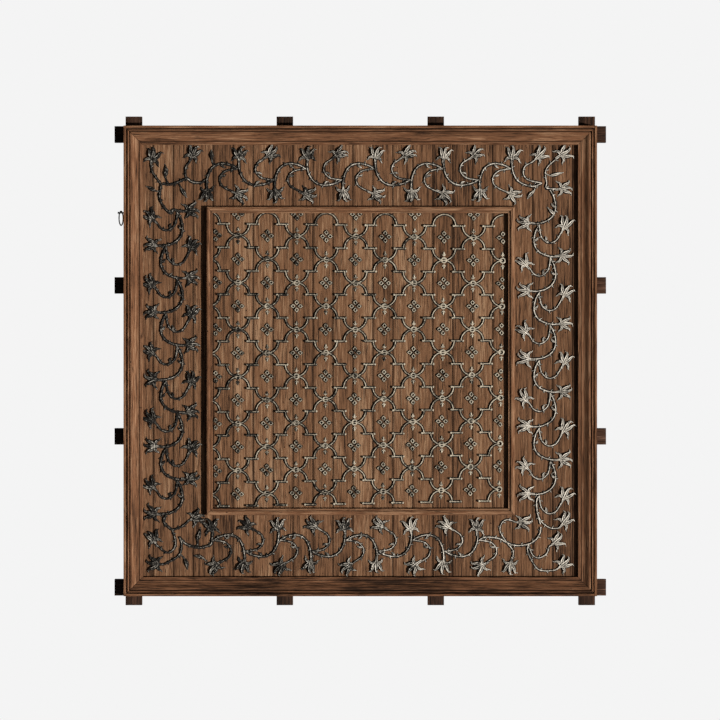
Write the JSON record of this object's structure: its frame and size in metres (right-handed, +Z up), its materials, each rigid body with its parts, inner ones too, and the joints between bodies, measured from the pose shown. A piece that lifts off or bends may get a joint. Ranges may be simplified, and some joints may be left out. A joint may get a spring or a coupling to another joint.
{
  "type": "decorative wood panel",
  "caption": "Square wall panel of old vertical boards on cross-lapped battens, with a broad mitred moulding, a smaller moulded frame and applied metal strapwork and flowering vines.",
  "frame": {"origin": "on the back face of the upper inner batten across the panel, at the middle of its length and width, where that batten lies on the wall", "axes": "+Z up, +X to the viewer's right, +Y into the wall, so the decorated face looks along -Y"},
  "size_m": [1.38, 0.0702, 1.372],
  "materials": {
    "board_wood": "old dry softwood, brown, rough sawn and worn, matt",
    "moulding_wood": "old stained wood, brown, satin on its crests and dark in its quirks",
    "batten_wood": "very dark, dry, unplaned",
    "pewter": "tarnished cast white metal, bright on its ridges and dark in its hollows",
    "black_iron": "black forged iron"
  },
  "bodies": {
    "root": {"batten_across_1": "batten_wood", "batten_across_2": "batten_wood", "batten_across_3": "batten_wood", "batten_across_4": "batten_wood", "batten_upright_1": "batten_wood", "batten_upright_2": "batten_wood", "batten_upright_3": "batten_wood", "batten_upright_4": "batten_wood", "board_1": "board_wood", "board_2": "board_wood", "board_3": "board_wood", "board_4": "board_wood", "board_5": "board_wood", "board_6": "board_wood", "board_7": "board_wood", "board_8": "board_wood", "board_9": "board_wood", "board_10": "board_wood", "board_11": "board_wood", "board_12": "board_wood", "board_13": "board_wood", "board_14": "board_wood", "board_15": "board_wood", "board_16": "board_wood", "board_17": "board_wood", "board_18": "board_wood", "board_19": "board_wood", "board_20": "board_wood", "board_21": "board_wood", "board_22": "board_wood", "board_23": "board_wood", "edge_board_top": "moulding_wood", "edge_board_bottom": "moulding_wood", "edge_board_left": "moulding_wood", "edge_board_right": "moulding_wood", "frame_moulding_top": "moulding_wood", "frame_moulding_left": "moulding_wood", "frame_moulding_bottom": "moulding_wood", "frame_moulding_right": "moulding_wood", "inner_moulding_top": "moulding_wood", "inner_moulding_left": "moulding_wood", "inner_moulding_bottom": "moulding_wood", "inner_moulding_right": "moulding_wood", "strapwork": "pewter", "vine_top": "pewter", "vine_left": "pewter", "vine_bottom": "pewter", "vine_right": "pewter", "ring_pin": "black_iron", "ring": "black_iron"}
  },
  "joints": []
}
